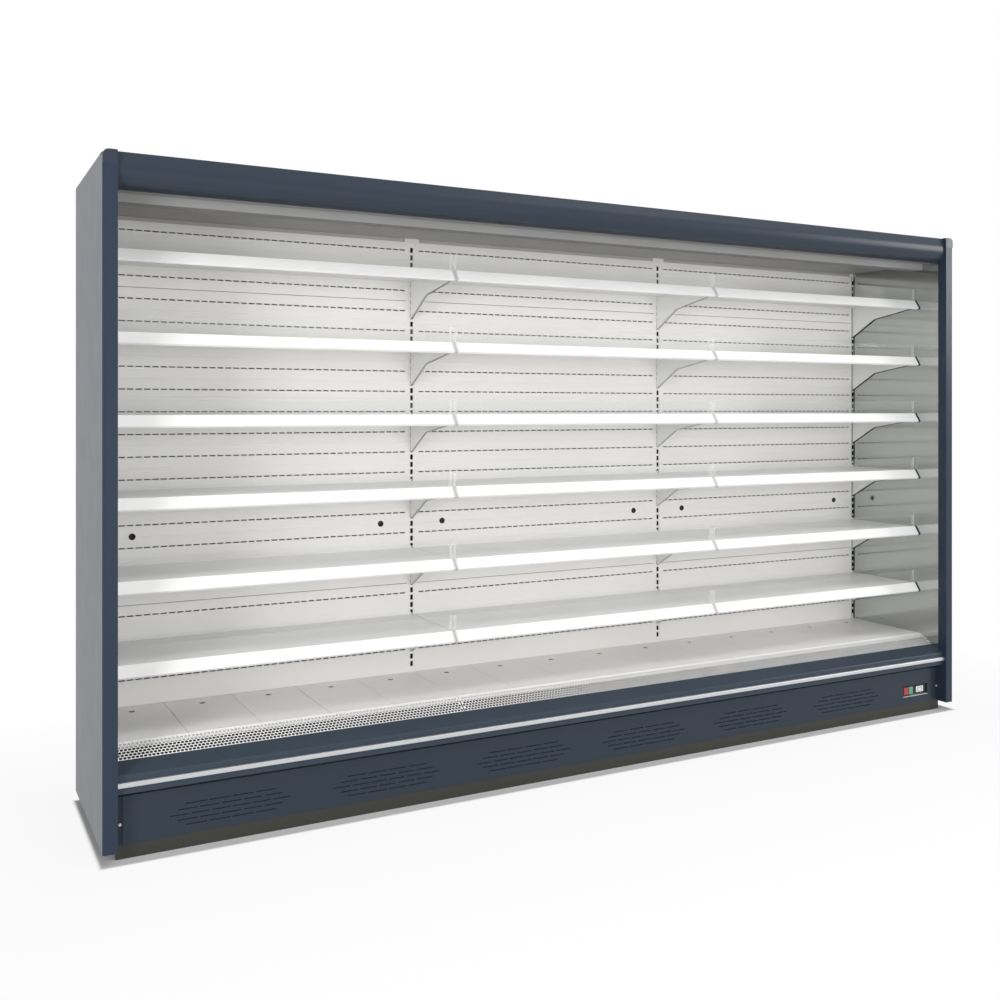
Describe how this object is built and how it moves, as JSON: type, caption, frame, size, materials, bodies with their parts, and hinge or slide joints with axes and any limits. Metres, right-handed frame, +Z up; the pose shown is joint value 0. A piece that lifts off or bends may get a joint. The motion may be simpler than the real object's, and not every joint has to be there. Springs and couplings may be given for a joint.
{
  "type": "open multideck display fridge",
  "caption": "Open-front refrigerated wall cabinet with hooked shelves, lift-out deck trays, mirror-lined end walls, lit canopy and a louvred machine base.",
  "frame": {"origin": "on the floor, in the middle of the length and of the depth", "axes": "+X along the length to the customer's right, +Y from the open front to the back, +Z up"},
  "size_m": [3.842, 0.664, 2.243],
  "materials": {
    "front_paint": "satin dark blue-grey",
    "side_paint": "gloss dark blue-grey",
    "cap_plastic": "satin dark blue-grey",
    "mirror_lining": "polished, faintly green",
    "liner_paint": "satin white",
    "shelf_paint": "satin white",
    "deck_paint": "satin white",
    "rail_plastic": "satin white",
    "clear_acrylic": "clear, polished edges",
    "lamp_diffuser": "frosted",
    "honeycomb_plastic": "matt light grey",
    "bumper_metal": "brushed",
    "plinth_plastic": "matt dark grey",
    "galvanised_steel": "spangled zinc",
    "tub_skin": "satin dark grey",
    "foot_plastic": "matt black",
    "drain_plastic": "matt grey",
    "red_plastic": "gloss red",
    "green_plastic": "gloss green",
    "controller_plastic": "satin black",
    "fin_aluminium": "mill finish",
    "black_enamel": "semi-gloss black",
    "fan_plastic": "matt black"
  },
  "bodies": {
    "cabinet": {"header_fascia": "front_paint", "front_nose": "front_paint", "kick_panel": "front_paint", "kick_fillers": "front_paint", "control_housing": "front_paint", "end_wall_left": "side_paint", "end_wall_right": "side_paint", "end_trims": "side_paint", "corner_caps": "cap_plastic", "mirror_linings": "mirror_lining", "back_panels": "liner_paint", "slotted_uprights": "liner_paint", "ceiling_panel": "liner_paint", "shelves_bay_1": "shelf_paint", "shelves_bay_2": "shelf_paint", "shelves_bay_3": "shelf_paint", "shelf_brackets": "shelf_paint", "return_grilles": "deck_paint", "deck_supports": "deck_paint", "fan_deck": "deck_paint", "ticket_rails": "rail_plastic", "shelf_risers": "clear_acrylic", "canopy_lamp": "lamp_diffuser", "air_honeycomb": "honeycomb_plastic", "bumper_strip": "bumper_metal", "plinth_strip": "plinth_plastic", "base_frame": "galvanised_steel", "rear_wall": "galvanised_steel", "roof_panel": "galvanised_steel", "unit_pan": "galvanised_steel", "insulated_tub": "tub_skin", "levelling_feet": "foot_plastic", "drain_pipe": "drain_plastic", "temperature_controller": "controller_plastic", "evaporator_coils": "fin_aluminium", "condenser_coil": "fin_aluminium", "compressor": "black_enamel", "fan_motors": "black_enamel", "condenser_motor": "black_enamel"},
    "tray_01": {"deck_tray_01": "deck_paint"},
    "tray_02": {"deck_tray_02": "deck_paint"},
    "tray_03": {"deck_tray_03": "deck_paint"},
    "tray_04": {"deck_tray_04": "deck_paint"},
    "tray_05": {"deck_tray_05": "deck_paint"},
    "tray_06": {"deck_tray_06": "deck_paint"},
    "tray_07": {"deck_tray_07": "deck_paint"},
    "tray_08": {"deck_tray_08": "deck_paint"},
    "tray_09": {"deck_tray_09": "deck_paint"},
    "tray_10": {"deck_tray_10": "deck_paint"},
    "tray_11": {"deck_tray_11": "deck_paint"},
    "tray_12": {"deck_tray_12": "deck_paint"},
    "tray_13": {"deck_tray_13": "deck_paint"},
    "tray_14": {"deck_tray_14": "deck_paint"},
    "tray_15": {"deck_tray_15": "deck_paint"},
    "stop_push": {"stop_button": "red_plastic"},
    "start_push": {"start_button": "green_plastic"},
    "evaporator_impeller_1": {"evaporator_fan_1": "fan_plastic"},
    "evaporator_impeller_2": {"evaporator_fan_2": "fan_plastic"},
    "evaporator_impeller_3": {"evaporator_fan_3": "fan_plastic"},
    "condenser_impeller": {"condenser_fan": "fan_plastic"}
  },
  "joints": [
    {"name": "tray_lift_01", "type": "slide", "parent": "cabinet", "child": "tray_01", "axis": [0, 0, 1], "range_m": [0, 0.08]},
    {"name": "tray_lift_02", "type": "slide", "parent": "cabinet", "child": "tray_02", "axis": [0, 0, 1], "range_m": [0, 0.08]},
    {"name": "tray_lift_03", "type": "slide", "parent": "cabinet", "child": "tray_03", "axis": [0, 0, 1], "range_m": [0, 0.08]},
    {"name": "tray_lift_04", "type": "slide", "parent": "cabinet", "child": "tray_04", "axis": [0, 0, 1], "range_m": [0, 0.08]},
    {"name": "tray_lift_05", "type": "slide", "parent": "cabinet", "child": "tray_05", "axis": [0, 0, 1], "range_m": [0, 0.08]},
    {"name": "tray_lift_06", "type": "slide", "parent": "cabinet", "child": "tray_06", "axis": [0, 0, 1], "range_m": [0, 0.08]},
    {"name": "tray_lift_07", "type": "slide", "parent": "cabinet", "child": "tray_07", "axis": [0, 0, 1], "range_m": [0, 0.08]},
    {"name": "tray_lift_08", "type": "slide", "parent": "cabinet", "child": "tray_08", "axis": [0, 0, 1], "range_m": [0, 0.08]},
    {"name": "tray_lift_09", "type": "slide", "parent": "cabinet", "child": "tray_09", "axis": [0, 0, 1], "range_m": [0, 0.08]},
    {"name": "tray_lift_10", "type": "slide", "parent": "cabinet", "child": "tray_10", "axis": [0, 0, 1], "range_m": [0, 0.08]},
    {"name": "tray_lift_11", "type": "slide", "parent": "cabinet", "child": "tray_11", "axis": [0, 0, 1], "range_m": [0, 0.08]},
    {"name": "tray_lift_12", "type": "slide", "parent": "cabinet", "child": "tray_12", "axis": [0, 0, 1], "range_m": [0, 0.08]},
    {"name": "tray_lift_13", "type": "slide", "parent": "cabinet", "child": "tray_13", "axis": [0, 0, 1], "range_m": [0, 0.08]},
    {"name": "tray_lift_14", "type": "slide", "parent": "cabinet", "child": "tray_14", "axis": [0, 0, 1], "range_m": [0, 0.08]},
    {"name": "tray_lift_15", "type": "slide", "parent": "cabinet", "child": "tray_15", "axis": [0, 0, 1], "range_m": [0, 0.08]},
    {"name": "stop_press", "type": "slide", "parent": "cabinet", "child": "stop_push", "axis": [0, 1, 0], "range_m": [0, 0.004], "stiffness_N_per_m": 800},
    {"name": "start_press", "type": "slide", "parent": "cabinet", "child": "start_push", "axis": [0, 1, 0], "range_m": [0, 0.004], "stiffness_N_per_m": 800},
    {"name": "evaporator_fan_spin_1", "type": "hinge", "parent": "cabinet", "child": "evaporator_impeller_1", "pos_m": [-1.249, -0.04911, 0.27103], "axis": [0, -0.3584, 0.9336], "continuous": true},
    {"name": "evaporator_fan_spin_2", "type": "hinge", "parent": "cabinet", "child": "evaporator_impeller_2", "pos_m": [0, -0.04911, 0.27103], "axis": [0, -0.3584, 0.9336], "continuous": true},
    {"name": "evaporator_fan_spin_3", "type": "hinge", "parent": "cabinet", "child": "evaporator_impeller_3", "pos_m": [1.249, -0.04911, 0.27103], "axis": [0, -0.3584, 0.9336], "continuous": true},
    {"name": "condenser_fan_spin", "type": "hinge", "parent": "cabinet", "child": "condenser_impeller", "pos_m": [1.06, -0.092, 0.096], "axis": [0, 1, 0], "continuous": true}
  ]
}
